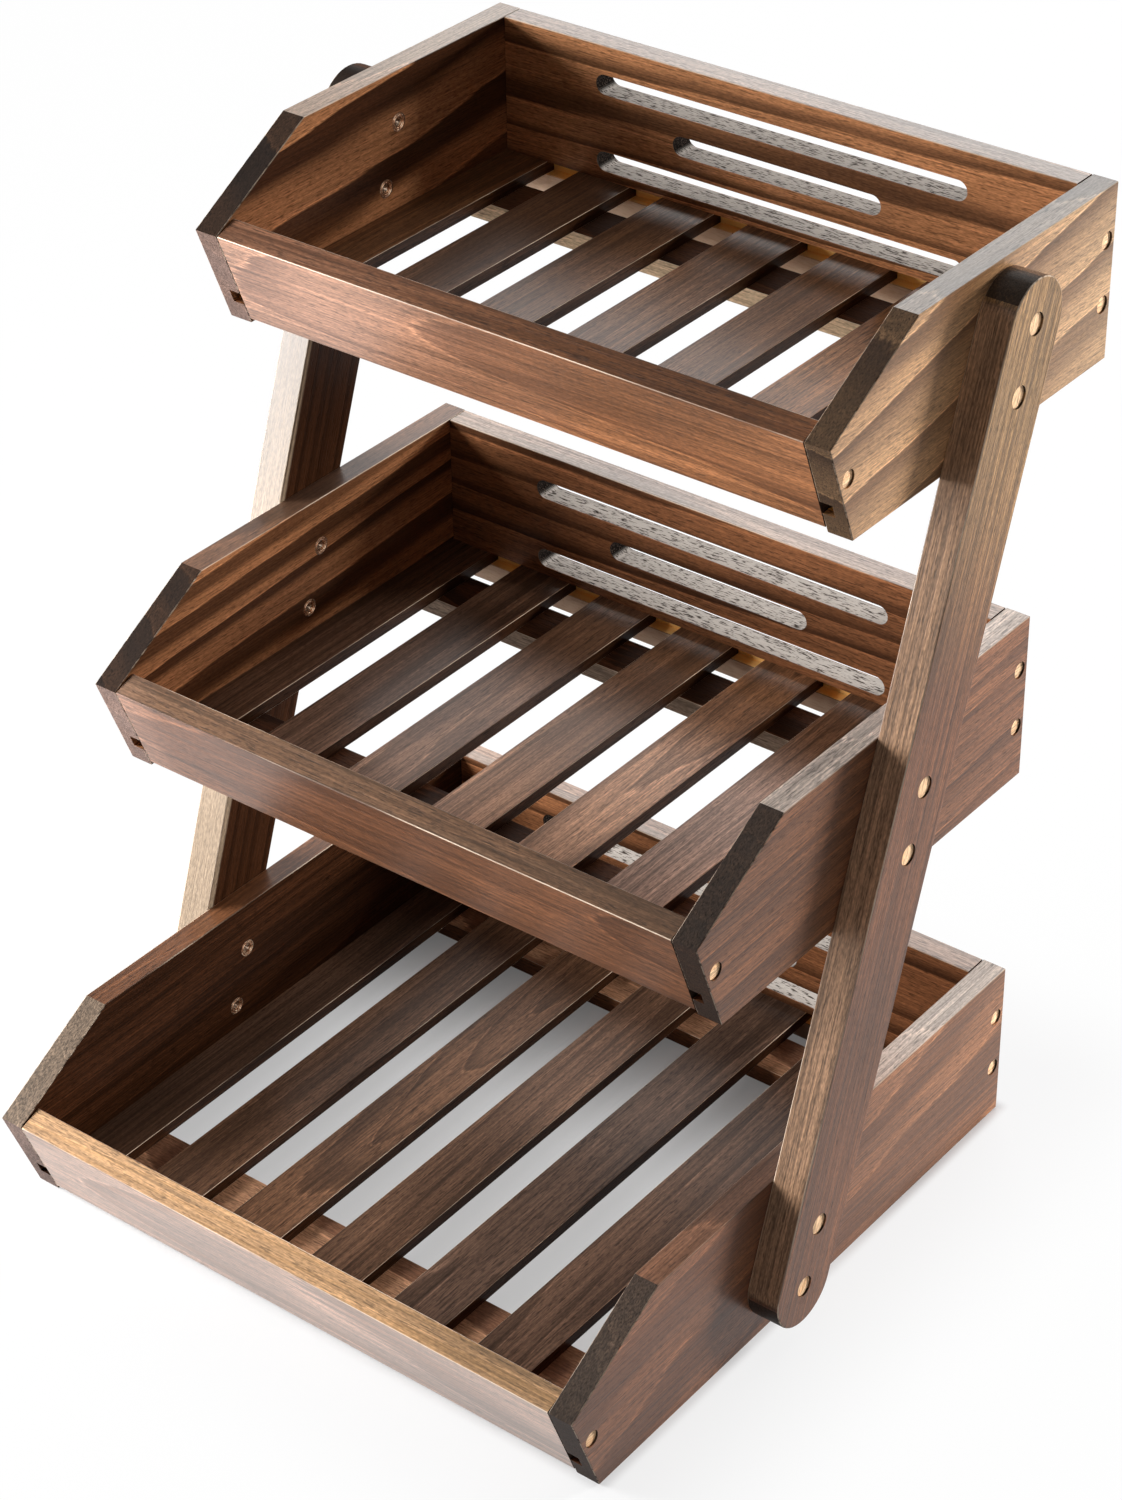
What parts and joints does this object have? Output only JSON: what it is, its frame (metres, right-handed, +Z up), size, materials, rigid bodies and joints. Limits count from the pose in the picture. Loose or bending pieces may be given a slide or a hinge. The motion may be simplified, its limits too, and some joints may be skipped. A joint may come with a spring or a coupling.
{
  "type": "tiered fruit basket",
  "caption": "Tiered fruit basket in stained pine: open slatted trays with leaning fronts and slotted backs, bolted between leaning side legs, to stand on a table or floor.",
  "frame": {"origin": "on the floor, in the middle of the stand's bounding box", "axes": "+Z up, +Y to the back, +X to the right of someone who faces the open fronts of the trays"},
  "size_m": [0.352, 0.369, 0.45],
  "materials": {
    "panel_pine": "satin",
    "front_board_pine": "satin",
    "back_board_pine": "satin",
    "slat_pine": "satin",
    "rail_pine": "matte",
    "leg_pine": "satin",
    "plug_pine": "matte",
    "zinc_steel": "satin",
    "insert_brass": "satin"
  },
  "bodies": {
    "root": {"top_right_panel": "panel_pine", "top_left_panel": "panel_pine", "top_front_board": "front_board_pine", "top_back_board": "back_board_pine", "top_slat_1": "slat_pine", "top_slat_2": "slat_pine", "top_slat_3": "slat_pine", "top_slat_4": "slat_pine", "top_slat_5": "slat_pine", "top_slat_6": "slat_pine", "top_slat_7": "slat_pine", "top_front_rail": "rail_pine", "top_rear_rail": "rail_pine", "top_board_screws": "zinc_steel", "top_leg_bolts": "zinc_steel", "top_insert_nuts": "insert_brass", "top_slat_nails": "zinc_steel", "top_bolt_plugs": "plug_pine", "top_screw_plugs": "plug_pine", "middle_right_panel": "panel_pine", "middle_left_panel": "panel_pine", "middle_front_board": "front_board_pine", "middle_back_board": "back_board_pine", "middle_slat_1": "slat_pine", "middle_slat_2": "slat_pine", "middle_slat_3": "slat_pine", "middle_slat_4": "slat_pine", "middle_slat_5": "slat_pine", "middle_slat_6": "slat_pine", "middle_slat_7": "slat_pine", "middle_front_rail": "rail_pine", "middle_rear_rail": "rail_pine", "middle_board_screws": "zinc_steel", "middle_leg_bolts": "zinc_steel", "middle_insert_nuts": "insert_brass", "middle_slat_nails": "zinc_steel", "middle_bolt_plugs": "plug_pine", "middle_screw_plugs": "plug_pine", "bottom_right_panel": "panel_pine", "bottom_left_panel": "panel_pine", "bottom_front_board": "front_board_pine", "bottom_back_board": "back_board_pine", "bottom_slat_1": "slat_pine", "bottom_slat_2": "slat_pine", "bottom_slat_3": "slat_pine", "bottom_slat_4": "slat_pine", "bottom_slat_5": "slat_pine", "bottom_slat_6": "slat_pine", "bottom_slat_7": "slat_pine", "bottom_front_rail": "rail_pine", "bottom_rear_rail": "rail_pine", "bottom_board_screws": "zinc_steel", "bottom_leg_bolts": "zinc_steel", "bottom_insert_nuts": "insert_brass", "bottom_slat_nails": "zinc_steel", "bottom_bolt_plugs": "plug_pine", "bottom_screw_plugs": "plug_pine", "right_leg": "leg_pine", "left_leg": "leg_pine"}
  },
  "joints": []
}
